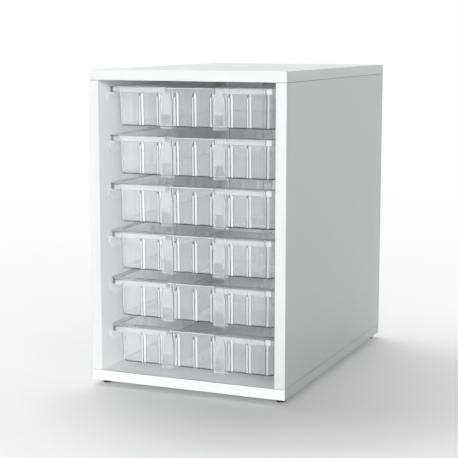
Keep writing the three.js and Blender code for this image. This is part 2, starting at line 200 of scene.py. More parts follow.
class Graph:
    """The node tree of a material or of the world, and the one way to add nodes to it."""

    def __init__(self, tree: NodeTree) -> None:
        """Start from an empty tree."""
        self.tree = tree
        tree.nodes.clear()

    def add(
        self,
        kind: str,
        settings: dict[str, object] | None = None,
        sockets: dict[str | int, Feed] | None = None,
    ) -> Node:
        """Add a node, set it up, then feed its sockets.

        Args:
            kind: The node's type.
            settings: Its properties, and a ramp's stops under "stops".
            sockets: Values or links by socket name or number.

        Returns:
            The node.
        """
        node = self.tree.nodes.new(kind)
        for name, value in (settings or {}).items():
            if name == "stops":
                self._set_stops(node.color_ramp, value)
            else:
                setattr(node, name, value)
        for name, feed in (sockets or {}).items():
            self._feed(node.inputs[name], feed)
        return node

    def _feed(self, socket: NodeSocket, feed: Feed) -> None:
        """Link a socket, or set its own value.

        Args:
            socket: The input socket.
            feed: A value, a socket, a number or several numbers.
        """
        if isinstance(feed, (Value, NodeSocket)):
            self.tree.links.new(feed.socket if isinstance(feed, Value) else feed, socket)
        elif isinstance(feed, (int, float)):
            socket.default_value = feed
        else:
            numbers = tuple(feed)
            if socket.type == "RGBA" and len(numbers) == 3:
                numbers = (*numbers, 1.0)
            socket.default_value = numbers

    @staticmethod
    def _set_stops(ramp: ColorRamp, stops: Pairs) -> None:
        """Give a ramp its grey stops.

        Args:
            ramp: The ramp, which starts with two stops.
            stops: Places and brightness, in order.
        """
        for index, (place, grey) in enumerate(stops):
            stop = ramp.elements[index] if index < 2 else ramp.elements.new(place)
            stop.position = place
            stop.color = (grey, grey, grey, 1.0)

    def places(self, stretch: Sequence[float] = (1.0, 1.0, 1.0)) -> NodeSocket:
        """Give the places on the object, in metres, stretched by three factors."""
        source = self.add("ShaderNodeTexCoord").outputs["Object"]
        scaled = self.add("ShaderNodeVectorMath", {"operation": "MULTIPLY"}, {0: source, 1: stretch})
        return scaled.outputs[0]

    def noise(self, grain: Grain) -> Value:
        """Give a grain's soft noise, from 0 to 1."""
        sockets = {"Scale": grain.scale, "Detail": grain.detail, "Roughness": NOISE_ROUGHNESS}
        sockets["Vector"] = self.places(grain.stretch)
        return Value(self, self.add("ShaderNodeTexNoise", {}, sockets).outputs[0])

    def ramp(self, value: Value, stops: Pairs) -> Value:
        """Reshape a value by stops of place and result."""
        node = self.add("ShaderNodeValToRGB", {"stops": tuple(stops)}, {"Fac": value})
        return Value(self, node.outputs["Color"])

    def mixed(self, share: Value, first: Feed, second: Feed) -> NodeSocket:
        """Blend two colours by the share of the second one."""
        settings = {"data_type": "RGBA", "blend_type": "MIX"}
        return self.add("ShaderNodeMix", settings, {0: share, 6: first, 7: second}).outputs[2]

    def bump(self, height: Value, grain: Grain) -> NodeSocket:
        """Turn a grain's noise into a normal with the grain's relief."""
        sockets = {"Height": height, "Distance": grain.depth, "Strength": grain.strength}
        return self.add("ShaderNodeBump", {}, sockets).outputs["Normal"]

    def rays(self, *kinds: str) -> list[Value]:
        """Give switches that are 1 for these kinds of rays and 0 for the rest."""
        path = self.add("ShaderNodeLightPath")
        return [Value(self, path.outputs[f"Is {kind} Ray"]) for kind in kinds]

    def shown(self) -> Value:
        """Give 1 for rays that come from the camera, a gloss or a clear wall, and 0 for the rest."""
        camera, glossy, clear = self.rays("Camera", "Glossy", "Transmission")
        return camera.at_least(glossy).at_least(clear)

    def facing(self) -> dict[Axis, Value]:
        """Give how far the surface faces along each axis, from -1 to 1."""
        normal = self.add("ShaderNodeNewGeometry").outputs["Normal"]
        parts = self.add("ShaderNodeSeparateXYZ", {}, {0: normal}).outputs
        return {axis: Value(self, parts[axis.name]) for axis in Axis}

    def blend(self, share: Value, first: NodeSocket, second: NodeSocket) -> NodeSocket:
        """Blend two surfaces by the share of the second one."""
        return self.add("ShaderNodeMixShader", {}, {0: share, 1: first, 2: second}).outputs[0]

    def principled(
        self, colour: Feed, roughness: Value, normal: NodeSocket, extras: dict[str, float]
    ) -> NodeSocket:
        """Give a principled surface, with its other settings as extras."""
        sockets = {"Base Color": colour, "Roughness": roughness, "Normal": normal, **extras}
        return self.add("ShaderNodeBsdfPrincipled", {}, sockets).outputs["BSDF"]


@dataclass(frozen=True)
class Finish:
    """A surface finish that makes its material once and puts it on pieces."""

    name: str
    slot: str

    def material(self) -> Material:
        """Give the finish's material, made on first use.

        Returns:
            The material.
        """
        known = bpy.data.materials.get(self.name)
        if known is not None:
            return known
        material = bpy.data.materials.new(self.name)
        material.use_nodes = True
        graph = Graph(material.node_tree)
        graph.add("ShaderNodeOutputMaterial", {}, {"Surface": self.surface(graph)})
        return material

    def surface(self, graph: Graph) -> NodeSocket:
        """Build the finish's nodes; each finish has its own."""
        raise NotImplementedError

    def put_on(self, piece: Object) -> None:
        """Cover a whole piece.

        Args:
            piece: A CAD node's object or a new piece.
        """
        if not piece.material_slots:
            piece.data.materials.append(self.material())
        for place in piece.material_slots:
            place.material = self.material()


@dataclass(frozen=True)
class CoatedBoard(Finish):
    """White melamine-coated board with a fine pearl grain."""

    light: Colour = (0.862, 0.876, 0.880)
    shade: Colour = (0.838, 0.853, 0.858)
    roughness: float = 0.40
    cloud_roughness: float = 0.10
    pearl_roughness: float = 0.06
    sheen: float = 0.2
    clouds: Grain = Grain(9.0, 3.0)
    pearl: Grain = Grain(1100.0, 2.0, depth=0.00004, strength=0.35)

    def surface(self, graph: Graph) -> NodeSocket:
        """Build a satin white whose grain breaks up its sheen.

        Args:
            graph: The material's graph.

        Returns:
            The surface.
        """
        cloud = graph.noise(self.clouds)
        pearl = graph.noise(self.pearl)
        roughness = self.roughness + self.cloud_roughness * cloud + self.pearl_roughness * pearl
        normal = graph.bump(pearl, self.pearl)
        colour = self.colour(graph, cloud)
        return graph.principled(colour, roughness, normal, {"Specular IOR Level": self.sheen})

    def colour(self, graph: Graph, cloud: Value) -> NodeSocket:
        """Give the coat's colour, a little uneven."""
        return graph.mixed(cloud, self.light, self.shade)


@dataclass(frozen=True)
class CapBoard(CoatedBoard):
    """Coated board whose front and side edges are raw core, to be covered by edging strips; the core is
    near-black, painted shade for the seams.
    """

    # The raw core's colour, made near-black as painted shade in the seams.
    core_and_seam_shade: Colour = (0.03, 0.027, 0.024)

    def colour(self, graph: Graph, cloud: Value) -> NodeSocket:
        """Give the coat's colour, and on upright faces that look forwards or sideways the near-black
        core, painted shade for the seams.
        """
        facing = graph.facing()
        edge = graph.ramp(facing[Axis.Z] ** 2.0, LEVEL_FADES) * graph.ramp(facing[Axis.Y], BACK_FADES)
        return graph.mixed(edge, super().colour(graph, cloud), self.core_and_seam_shade)


@dataclass(frozen=True)
class BackBoard(CoatedBoard):
    """Thin coated board whose inner face is painted greyer than its outside, as painted shade deep inside
    the carcass.
    """

    # Greyer inner face: painted shade for the dim back of the carcass.
    inner_painted_shade: Colour = (0.70, 0.712, 0.716)

    def colour(self, graph: Graph, cloud: Value) -> NodeSocket:
        """Give the coat's colour, and the painted shade on the face that looks forwards."""
        inner = graph.ramp(graph.facing()[Axis.Y] + 1.0, BACK_FADES)
        return graph.mixed(inner, super().colour(graph, cloud), self.inner_painted_shade)


@dataclass(frozen=True)
class EdgeStrip(Finish):
    """White plastic edging, drawn along its length."""

    run: Axis = Axis.X
    light: Colour = (0.930, 0.938, 0.940)
    shade: Colour = (0.910, 0.919, 0.922)
    roughness: float = 0.34
    line_roughness: float = 0.12
    sheen: float = 0.4
    lines: Grain = Grain(1400.0, 2.0, depth=0.00003, strength=0.3)
    drawing: float = 0.02

    def surface(self, graph: Graph) -> NodeSocket:
        """Build a satin white with faint lines along the strip.

        Args:
            graph: The material's graph.

        Returns:
            The surface.
        """
        stretch = tuple(self.drawing if axis is self.run else 1.0 for axis in Axis)
        lines = graph.noise(replace(self.lines, stretch=stretch))
        colour = graph.mixed(lines, self.light, self.shade)
        roughness = self.roughness + self.line_roughness * lines
        normal = graph.bump(lines, self.lines)
        return graph.principled(colour, roughness, normal, {"Specular IOR Level": self.sheen})


@dataclass(frozen=True)
class MouldedPlastic(Finish):
    """Black opaque moulded plastic with a fine spark grain."""

    light: Colour = (0.012, 0.012, 0.013)
    shade: Colour = (0.02, 0.02, 0.021)
    roughness: float = 0.55
    grain_roughness: float = 0.14
    sheen: float = 0.45
    clouds: Grain = Grain(30.0, 2.0)
    grain: Grain = Grain(1600.0, 3.0, depth=0.00005, strength=0.4)

    def surface(self, graph: Graph) -> NodeSocket:
        """Build a satin surface with a soft grain.

        Args:
            graph: The material's graph.

        Returns:
            The surface.
        """
        grain = graph.noise(self.grain)
        colour = graph.mixed(graph.noise(self.clouds), self.light, self.shade)
        roughness = self.roughness + self.grain_roughness * (grain - 0.5)
        normal = graph.bump(grain, self.grain)
        return graph.principled(colour, roughness, normal, {"Specular IOR Level": self.sheen})


@dataclass(frozen=True)
class ClearPlastic(Finish):
    """Clear, slightly milky tray plastic with flow marks, which lets most light straight through."""

    light: Colour = (0.95, 0.962, 0.965)
    shade: Colour = (0.91, 0.925, 0.93)
    clearness: float = 0.84
    shadow_passing: float = 1.0
    diffuse_passing: float = 0.9
    passed: Colour = (0.97, 0.975, 0.975)
    refraction: float = 1.49
    roughness: float = 0.02
    frost_roughness: float = 0.03
    clouds: Grain = Grain(14.0, 3.0, (1.0, 1.0, 2.5), 0.0003, 0.2)
    frost: Grain = Grain(700.0, 2.0)
    frosted: bool = False

    def surface(self, graph: Graph) -> NodeSocket:
        """Build plastic that shadow rays and scattered light pass straight through.

        Args:
            graph: The material's graph.

        Returns:
            The surface.
        """
        cloud = graph.noise(self.clouds)
        frost = graph.noise(self.frost)
        colour = graph.mixed(cloud, self.light, self.shade)
        roughness = self.roughness + self.frost_roughness * frost
        normal = graph.bump(frost, self.frost) if self.frosted else graph.bump(cloud, self.clouds)
        extras = {"IOR": self.refraction, "Transmission Weight": self.clearness}
        plastic = graph.principled(colour, roughness, normal, extras)
        shadow, diffuse = graph.rays("Shadow", "Diffuse")
        share = (self.shadow_passing * shadow).at_least(self.diffuse_passing * diffuse)
        clear = graph.add("ShaderNodeBsdfTransparent", {}, {"Color": self.passed})
        return graph.blend(share, plastic, clear.outputs[0])


@dataclass(frozen=True)
class MilkyPlastic(ClearPlastic):
    """Milky moulded plastic with a soft grain that lets some of the light through."""

    light: Colour = (0.90, 0.912, 0.916)
    shade: Colour = (0.87, 0.883, 0.888)
    clearness: float = 0.3
    diffuse_passing: float = 0.5
    roughness: float = 0.36
    frost_roughness: float = 0.12
    clouds: Grain = Grain(30.0, 2.0)
    frost: Grain = Grain(1600.0, 3.0, depth=0.00005, strength=0.4)
    frosted: bool = True


@dataclass(frozen=True)
class BeechDowel(Finish):
    """Plain beech with its grain along the dowel."""

    light: Colour = (0.62, 0.44, 0.26)
    shade: Colour = (0.44, 0.29, 0.15)
    roughness: float = 0.62
    grain_roughness: float = 0.2
    grain: Grain = Grain(900.0, 4.0, (1.0, 1.0, 0.06), 0.00008, 0.5)
    flecks: Grain = Grain(1500.0, 2.0, (1.0, 1.0, 0.2))
    fleck_stops: Pairs = ((0.55, 0.0), (0.68, 1.0))
    grain_share: float = 0.7
    fleck_share: float = 0.3

    def surface(self, graph: Graph) -> NodeSocket:
        """Build dry wood with upright grain and short flecks.

        Args:
            graph: The material's graph.

        Returns:
            The surface.
        """
        grain = graph.noise(self.grain)
        flecks = graph.ramp(graph.noise(self.flecks), self.fleck_stops)
        colour = graph.mixed(grain * self.grain_share + flecks * self.fleck_share, self.light, self.shade)
        roughness = self.roughness + self.grain_roughness * grain
        return graph.principled(colour, roughness, graph.bump(grain, self.grain), {})


@dataclass(frozen=True)
class StudioFloor(Finish):
    """A plain pale floor that keeps the unit's real shadow near it and shows painted white to the camera
    further out, which shapes the shadow's fade.
    """

    shade: Colour = (0.90, 0.90, 0.90)
    shadow_middle: Colour = (0.12, -0.08, 0.0)
    # Shares of painted white by distance from the shadow's middle: a painted fade round the shadow, then
    # plain white far off.
    whitening: Pairs = (
        (0.20, 0.05),
        (0.30, 0.10),
        (0.40, 0.22),
        (0.50, 0.48),
        (0.62, 0.68),
        (0.85, 0.77),
        (1.6, 0.92),
        (3.0, 1.0),
    )

    def surface(self, graph: Graph) -> NodeSocket:
        """Build a matt floor whose real shadow fades into painted white with distance from a point in the
        shadow.

        Args:
            graph: The material's graph.

        Returns:
            The surface.
        """
        spots = {0: graph.places(), 1: self.shadow_middle}
        away = graph.add("ShaderNodeVectorMath", {"operation": "DISTANCE"}, spots)
        far = self.whitening[-1][0]
        reach = Value(graph, away.outputs["Value"]) / far
        white = graph.ramp(reach, [(distance / far, share) for distance, share in self.whitening])
        matt = graph.add("ShaderNodeBsdfDiffuse", {}, {"Color": self.shade})
        glow = graph.add("ShaderNodeEmission", {}, {"Color": WHITE, "Strength": 1.0})
        return graph.blend(white * graph.shown(), matt.outputs[0], glow.outputs[0])


class Workshop:
    """Mesh work that several pieces share."""

    @staticmethod
    def add(name: str, mesh: Mesh) -> Object:
        """Put a mesh into the scene as an object.

        Args:
            name: The object's name.
            mesh: Its mesh.

        Returns:
            The object.
        """
        piece = bpy.data.objects.new(name, mesh)
        bpy.context.scene.collection.objects.link(piece)
        return piece

    @staticmethod
    def skin(
        name: str,
        rings: Sequence[Sequence[Vector]],
        soften: float = 0.0,
        tone: Callable[[int, int], Tone] | None = None,
    ) -> Mesh:
        """Skin closed rings of equal length, with the first and the last one filled.

        Args:
            name: The mesh's name.
            rings: The rings, in order.
            soften: Width of a rounding on every edge, or none.
            tone: Which plastic or painted tone a face has, by its row and its place in the ring.

        Returns:
            The closed mesh.
        """
        work = bmesh.new()
        rows = [[work.verts.new(point) for point in ring] for ring in rings]
        for row, (low, high) in enumerate(zip(rows, rows[1:])):
            for index, corner in enumerate(low):
                after = (index + 1) % len(low)
                face = work.faces.new((corner, low[after], high[after], high[index]))
                if tone is not None:
                    face.material_index = tone(row, index).value
        work.faces.new(tuple(reversed(rows[0])))
        work.faces.new(tuple(rows[-1]))
        bmesh.ops.recalc_face_normals(work, faces=work.faces[:])
        if soften > 0.0:
            shape = {"segments": ROUNDING_STEPS, "profile": 0.5, "affect": "EDGES", "clamp_overlap": True}
            bmesh.ops.bevel(work, geom=work.edges[:], offset=soften, **shape)
        mesh = bpy.data.meshes.new(name)
        work.to_mesh(mesh)
        work.free()
        return mesh

    @staticmethod
    def soften(piece: Object, width: float) -> None:
        """Round the sharp edges of a piece.

        Args:
            piece: The object.
            width: The width of the rounding.
        """
        rounding = piece.modifiers.new("edge_rounding", "BEVEL")
        rounding.width = width
        rounding.segments = ROUNDING_STEPS
        rounding.limit_method = "ANGLE"
        rounding.angle_limit = SOFTENED_EDGE
        rounding.harden_normals = True

    @staticmethod
    def carve(name: str, base: Mesh, steps: Sequence[tuple[str, Sequence[Mesh]]]) -> Mesh:
        """Join meshes to a base and cut others from it.

        Args:
            name: The result's name.
            base: The mesh to start from.
            steps: Boolean operations, each with its meshes, in order.

        Returns:
            The finished mesh, smooth but for its sharp edges.
        """
        body = Workshop.add(name + "_blank", base)
        spent: list[Object] = [body]
        groups: list[Collection] = []
        for operation, meshes in steps:
            group = bpy.data.collections.new(f"{name}_{operation.lower()}")
            bpy.context.scene.collection.children.link(group)
            for mesh in meshes:
                tool = bpy.data.objects.new(mesh.name, mesh)
                group.objects.link(tool)
                spent.append(tool)
            change = body.modifiers.new(operation, "BOOLEAN")
            change.operation = operation
            change.solver = "EXACT"
            change.operand_type = "COLLECTION"
            change.collection = group
            groups.append(group)
        bpy.context.view_layer.update()
        whole = body.evaluated_get(bpy.context.evaluated_depsgraph_get())
        mesh = bpy.data.meshes.new_from_object(whole)
        bpy.data.batch_remove([*spent, *groups])
        mesh.name = name
        mesh.shade_smooth()
        mesh.set_sharp_from_angle(angle=SHARP_EDGE)
        return mesh


@dataclass(frozen=True)
class Outline:
    """A rounded oblong about the tray's middle."""

    half_width: float
    half_depth: float
    radius: float

    def inset(self, by: float) -> "Outline":
        """Shrink the oblong all round."""
        return Outline(self.half_width - by, self.half_depth - by, max(self.radius - by, LEAST_RADIUS))

    def towards(self, other: "Outline", share: float) -> "Outline":
        """Go part of the way, from 0 to 1, to another oblong."""
        return Outline(
            self.half_width + (other.half_width - self.half_width) * share,
            self.half_depth + (other.half_depth - self.half_depth) * share,
            self.radius + (other.radius - self.radius) * share,
        )

    def ring(self, level: float, steps: int) -> list[Vector]:
        """Give the oblong's points at a level.

        Args:
            level: The height.
            steps: Steps in each corner.

        Returns:
            The points, anticlockwise seen from above.
        """
        points = []
        for quarter, (x, y) in enumerate(((1, -1), (1, 1), (-1, 1), (-1, -1))):
            for step in range(steps + 1):
                angle = (quarter - 1 + step / steps) * math.pi / 2
                across = x * (self.half_width - self.radius) + self.radius * math.cos(angle)
                along = y * (self.half_depth - self.radius) + self.radius * math.sin(angle)
                points.append(Vector((across, along, level)))
        return points


@dataclass
class Carcass:
    """The board carcass: panels, edging strips and the dowels in its joints."""

    board: Finish
    caps: dict[str, Finish]
    dowel: Finish
    panel_rounding: float = 0.0002
    edging_rounding: float = 0.0002

    def dress(self) -> None:
        """Give every panel, strip and dowel its finish and soft edges."""
        for name, piece in frame["nodes"].items():
            if name.endswith("_panel"):
                self.caps.get(name, self.board).put_on(piece)
                Workshop.soften(piece, self.panel_rounding)
                log.info("board %s", name)
            elif name.endswith("_edging"):
                self._strip(name).put_on(piece)
                Workshop.soften(piece, self.edging_rounding)
                log.info("edging %s", name)
            elif "_dowel_" in name:
                self.dowel.put_on(piece)
                log.info("dowel %s", name)

    @staticmethod
    def _strip(name: str) -> Finish:
        """Choose the edging that runs along a strip's length.

        Args:
            name: The strip's node.

        Returns:
            The finish.
        """
        low, high = (Vector(corner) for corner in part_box(name))
        spans = high - low
        run = max(Axis, key=lambda axis: spans[axis.value])
        if run is Axis.Y:
            return EdgeStrip("side_edging", "edging", run, CoatedBoard.light, CoatedBoard.shade)
        return EdgeStrip(f"front_edging_{run.name.lower()}", "edging", run)


@dataclass
class Runners:
    """The twelve tray runners on the side panels."""

    finish: Finish
    rounding: float = 0.0005

    def dress(self) -> None:
        """Give each runner its finish and soft edges."""
        for name, piece in frame["nodes"].items():
            if "_runner_" in name:
                self.finish.put_on(piece)
                Workshop.soften(piece, self.rounding)
                log.info("runner %s", name)


@dataclass(frozen=True)
class CornerBands:
    """Painted highlight and dark-line bands round a corner from the end wall to the side wall, each up to
    an angle in degrees.
    """

    wall: tuple[tuple[float, Tone], ...]
    skirt: tuple[tuple[float, Tone], ...]


# Painted highlights and painted dark lines for the corners turned towards the light from the right, and
# for those turned away.
TOWARDS_LIGHT = CornerBands(
    wall=((5.0, Tone.PAINTED_SHADE_LINE), (17.0, Tone.EDGE)),
    skirt=((5.0, Tone.PAINTED_GREY_LINE), (28.0, Tone.EDGE)),
)
FROM_LIGHT = CornerBands(
    wall=((28.0, Tone.CLEAR), (45.0, Tone.EDGE), (73.0, Tone.PAINTED_SHADE_LINE)),
    skirt=((16.0, Tone.CLEAR), (39.0, Tone.PAINTED_SHADE_LINE), (61.0, Tone.EDGE)),
)


@dataclass(frozen=True)
class RibRow:
    """A row of upright ribs, on the front and back walls if it runs along X, else on the side walls."""

    along_x: bool
    count: int
    pitch: float
    width: float
    proud: float
    slope: float

    def places(self) -> list[float]:
        """Give the middles of the ribs along their wall."""
        return [(index - (self.count - 1) / 2) * self.pitch for index in range(self.count)]


@dataclass
class Tray:
    """A clear tray: drafted body, ribs, pillars and a downturned rim with a gap for the hand."""

    plastics_and_painted_tones: dict[Tone, Finish]
    width: float
    depth: float
    height: float
    wall: float = 0.0022
    rim_height: float = 0.0104
    rim_radius: float = 0.022
    rim_rounding: float = 0.0006
    chamfer_share: float = 0.4
    side_overhang: float = 0.0115
    end_overhang: float = 0.02025
    body_radius: float = 0.016
    side_draft: float = 0.001
    end_draft: float = 0.0015
    lift: float = 0.0025
    foot_rounding: float = 0.002
    grip_width: float = 0.087
    grip_rounding: float = 0.004
    grip_ledge: float = 0.013
    grip_drop: float = 0.0016
    grip_plate: float = 0.0011
    rib_top_drop: float = 0.015
    rib_rows: tuple[RibRow, RibRow] = (
        RibRow(True, count=7, pitch=0.03258, width=0.0084, proud=0.0015, slope=0.0031),
        RibRow(False, count=13, pitch=0.0325, width=0.01625, proud=0.0012, slope=0.0012),
    )
    rib_foot: float = 0.001
    rib_foot_proud: float = 0.0002
    rib_taper: float = 0.005
    rib_foot_share: float = 0.3
    rib_tip_width: float = 0.4
    rib_tip_proud: float = 0.1
    # Painted highlight and dark-line bands for the corners turned towards the light and away from it.
    corners: tuple[CornerBands, CornerBands] = (TOWARDS_LIGHT, FROM_LIGHT)
    pillar_offset: float = 0.048
    pillar_width: float = 0.023
    pillar_neck: float = 0.018
    pillar_proud: float = 0.0075
    pillar_edge: float = 0.003
    pillar_rounding: float = 0.0008
    pillar_root: float = 0.0003
    pillar_shoulder_drop: float = 0.024
    pillar_neck_drop: float = 0.014
    window_width: float = 0.016
    window_height: float = 0.021
    window_lift: float = 0.003
    window_bevel: float = 0.0006
    window_overlap: float = 0.0003
    pocket_wall: float = 0.0015
    lip_stub_gap: float = 0.0002
    lip_stub_share: float = 0.9
    lip_end_lift: float = 0.0003
    # Steps of the right lip end's turn that get painted shade.
    painted_shade_turn: tuple[int, ...] = (2, 3)
    cut_reach: float = 0.002
    root: float = 0.001
    skin_gap: float = 0.0001
    corner_steps: int = 16
    edge_steps: int = 4

    def __post_init__(self) -> None:
        """Work out the outlines and levels that the sizes give."""
        self.rim = Outline(self.width / 2, self.depth / 2, self.rim_radius)
        self.top = Outline(
            self.width / 2 - self.side_overhang, self.depth / 2 - self.end_overhang, self.body_radius
        )
        self.foot = Outline(
            self.top.half_width - self.side_draft, self.top.half_depth - self.end_draft, self.body_radius
        )
        self.rim_under = self.height - self.wall
        self.skirt_foot = self.height - self.rim_height
        self.wall_foot = self.lift + self.foot_rounding
        self.shoulder = self.height - self.pillar_shoulder_drop
        self.neck = self.height - self.pillar_neck_drop

    def wall_at(self, level: float) -> Outline:
        """Give the outer wall's outline at a level."""
        share = (level - self.wall_foot) / (self.rim_under - self.wall_foot)
        return self.foot.towards(self.top, share)

    def _arc(self, radius: float) -> Pairs:
        """Give a quarter round as pairs of inset and rise, from flat to upright."""
        turns = quarter_turn(self.edge_steps)
        return [(radius * (1 - math.sin(turn)), radius * (1 - math.cos(turn))) for turn in turns]

    def _shell(self) -> Mesh:
        """Build the open shell with its rim and skirt.

        Returns:
            The closed mesh.
        """
        steps = self.corner_steps
        inner_foot = self.foot.inset(self.wall)
        inner_top = self.top.inset(self.wall)
        skirt = self.rim.inset(self.wall)
        chamfer = self.wall * self.chamfer_share
        foot_arc = self._arc(self.foot_rounding)
        rim_arc = self._arc(self.rim_rounding)
        floor = self.lift + self.wall
        stations = [
            *((self.foot.inset(inset), self.lift + rise) for inset, rise in foot_arc),
            (self.top, self.rim_under),
            (skirt, self.rim_under),
            (skirt, self.skirt_foot + chamfer),
            (self.rim.inset(self.wall - chamfer), self.skirt_foot),
            (self.rim.inset(chamfer), self.skirt_foot),
            (self.rim, self.skirt_foot + chamfer),
            *((self.rim.inset(inset), self.height - drop) for inset, drop in reversed(rim_arc)),
            (inner_top.inset(-chamfer), self.height),
            (inner_top, self.height - chamfer),
            *((inner_foot.inset(inset), floor + rise) for inset, rise in reversed(foot_arc)),
        ]
        rings = [outline.ring(level, steps) for outline, level in stations]
        return Workshop.skin("tray_shell", rings, tone=self._shell_tone)

    def _shell_tone(self, row: int, index: int) -> Tone:
        """Choose the plastic of a face of the shell: clear, painted dark rows at the foot, a painted grey
        line on the rim's top, painted highlight and dark-line bands round the corners, and side walls and
        lip fronts painted lighter.

        Args:
            row: Its row, from the outer foot over the rim to the inner foot.
            index: Its place round the tray.

        Returns:
            The plastic or painted tone.
        """
        wall_row = self.edge_steps
        rows_up_to_skirt = 6
        painted_shade_rows = 2
        skirt_row = wall_row + rows_up_to_skirt
        top_row = skirt_row + self.edge_steps + 1
        if row < wall_row:
            return Tone.CLEAR if row < wall_row - painted_shade_rows else Tone.PAINTED_SHADE_LINE
        if row == top_row:
            return Tone.PAINTED_GREY_LINE
        quarter, step = divmod(index, self.corner_steps + 1)
        odd = quarter % 2
        if row not in (wall_row, skirt_row):
            return Tone.CLEAR
        if step == self.corner_steps:
            flats = {(wall_row, 0): Tone.SIDE, (skirt_row, 1): Tone.PAINTED_LIP_LIGHT}
            return flats.get((row, odd), Tone.CLEAR)
        turned = ((self.corner_steps - 1 - step if odd else step) + 0.5) * 90.0 / self.corner_steps
        bands = self.corners[odd].wall if row == wall_row else self.corners[odd].skirt
        return next((tone for limit, tone in bands if turned < limit), Tone.CLEAR)

    def _rib(self, row: RibRow, place: float, sign: int) -> Mesh:
        """Build an upright rib on a wall.

        Args:
            row: The row that it is one of.
            place: The rib's middle along the wall.
            sign: Which of the two opposite walls.

        Returns:
            The rib, rooted in the wall.
        """
        width, proud = row.width, row.proud
        top = self.height - self.rib_top_drop
        stations = (
            (self.wall_foot, width, proud * self.rib_foot_share),
            (self.wall_foot + proud, width, proud),
            (top - proud, width, proud),
            (top + self.rib_taper, width * self.rib_tip_width, proud * self.rib_tip_proud),
        )
        rings = []
        for level, broad, out in stations:
            outline = self.wall_at(level)
            face = outline.half_depth if row.along_x else outline.half_width
            ring = []
            for across, reach in self._rib_profile(broad, out, row.slope * broad / width):
                along = place + across
                away = sign * (face + reach)
                ring.append(Vector((along, away, level) if row.along_x else (away, along, level)))
            rings.append(ring)
        tone = partial(self._rib_tone, row.along_x and sign < 0)
        return Workshop.skin("tray_rib", rings, tone=tone)

    def _rib_tone(self, front: bool, row: int, index: int) -> Tone:
        """Choose the plastic of a face of a rib: painted highlights on its rounded faces, and painted
        dark lines on the front wall's ribs.

        Args:
            front: True for the ribs of the front wall, which get painted dark lines on their crests, feet
                and tops.
            row: Its row, from the foot up.
            index: Its place round the rib's cross-section.

        Returns:
            The plastic or painted tone.
        """
        right_foot = 2
        crest = right_foot + self.edge_steps + 1
        left_foot = crest + self.edge_steps + 1
        taper_row = 2
        if front and row == taper_row and crest < index < left_foot:
            return Tone.PAINTED_SHADE_LINE
        if index in (right_foot, crest, left_foot):
            return Tone.PAINTED_GREY_LINE if front and row != taper_row else Tone.CLEAR
        return Tone.EDGE if right_foot < index < left_foot else Tone.CLEAR

    def _rib_profile(self, width: float, out: float, slope: float) -> Pairs:
        """Give a rib's cross-section, rooted in the wall, with a low foot along both flanks.

        Args:
            width: The rib's width.
            out: How far it stands out of the wall.
            slope: The width of each rounded flank.

        Returns:
            Pairs of the place across the rib and the distance from the wall's face.
        """
        low = min(self.rib_foot_proud, out / 2)
        half = width / 2
        edge = half + self.rib_foot
        turns = quarter_turn(self.edge_steps)
        arc = [(half - slope + slope * math.cos(t), low + (out - low) * math.sin(t)) for t in turns]
        mirrored = [(-across, reach) for across, reach in reversed(arc)]
        return [(-edge, -self.root), (edge, -self.root), (edge, low), *arc, *mirrored, (-edge, low)]

    def _pillar(self, place: float, sign: int) -> Mesh:
        """Build a pillar on an end wall: wide below, necked under the rim.

        Args:
            place: Its middle along X.
            sign: Which end wall.

        Returns:
            The pillar, rooted in the wall and the floor.
        """
        face = self.top.half_depth + self.pillar_proud
        low_root = self.foot.half_depth - self.foot_rounding
        floor = self.lift + self.wall - self.root
        stations = (
            (0.0, self.pillar_width, low_root),
            (floor, self.pillar_width, low_root),
            (self.wall_foot, self.pillar_width, self.foot.half_depth - self.root),
            (self.shoulder, self.pillar_width, self.wall_at(self.shoulder).half_depth - self.root),
            (self.neck, self.pillar_neck, self.wall_at(self.neck).half_depth - self.root),
            (self.rim_under + self.pillar_root, self.pillar_neck, self.top.half_depth - self.root),
        )
        edge = face - self.pillar_edge
        rings = []
        for level, width, inner in stations:
            half = width / 2
            right = ((half, inner), (half, edge), (half, face))
            corners = ((-half, inner), *right, (-half, face), (-half, edge))
            rings.append([Vector((place + x, sign * away, level)) for x, away in corners])
        # Painted highlights on the rear halves of the pillar's flanks and painted dark lines on their
        # front halves.
        tones = (Tone.CLEAR, Tone.EDGE, Tone.PAINTED_SHADE_LINE, Tone.CLEAR, Tone.PAINTED_SHADE_LINE, Tone.EDGE)
        return Workshop.skin("tray_pillar", rings, self.pillar_rounding, lambda row, index: tones[index])

    def _pillar_cuts(self, place: float, sign: int) -> list[Mesh]:
        """Build the cutters for a pillar's hollow and for the window through its face.

        Args:
            place: The pillar's middle along X.
            sign: Which end wall.

        Returns:
            The hollow's cutter, and the window's, a little wider outside than inside.
        """
        face = self.top.half_depth + self.pillar_proud
        inner = face - self.pocket_wall
        levels = (
            (self.wall_foot, self.pillar_width),
            (self.shoulder, self.pillar_width),
            (self.neck, self.pillar_neck),
            (self.skirt_foot + self.pocket_wall, self.pillar_neck),
        )
        pocket = []
        for level, width in levels:
            half = width / 2 - self.pocket_wall
            wall = self.wall_at(level).half_depth + self.skin_gap
            corners = ((-half, wall), (half, wall), (half, inner), (-half, inner))
            pocket.append([Vector((place + x, sign * away, level)) for x, away in corners])
        bevel = self.window_bevel
        depths = ((inner - self.window_overlap, 0.0), (face, bevel), (face + self.cut_reach, bevel))
        window = []
        for away, grow in depths:
            left = place - self.window_width / 2 - grow
            right = place + self.window_width / 2 + grow
            low = self.wall_foot + self.window_lift - grow
            high = self.window_lift + self.window_height + grow
            corners = ((left, low), (right, low), (right, high), (left, high))
            window.append([Vector((x, sign * away, z)) for x, z in corners])
        return [Workshop.skin("tray_pocket", pocket), Workshop.skin("tray_window", window)]

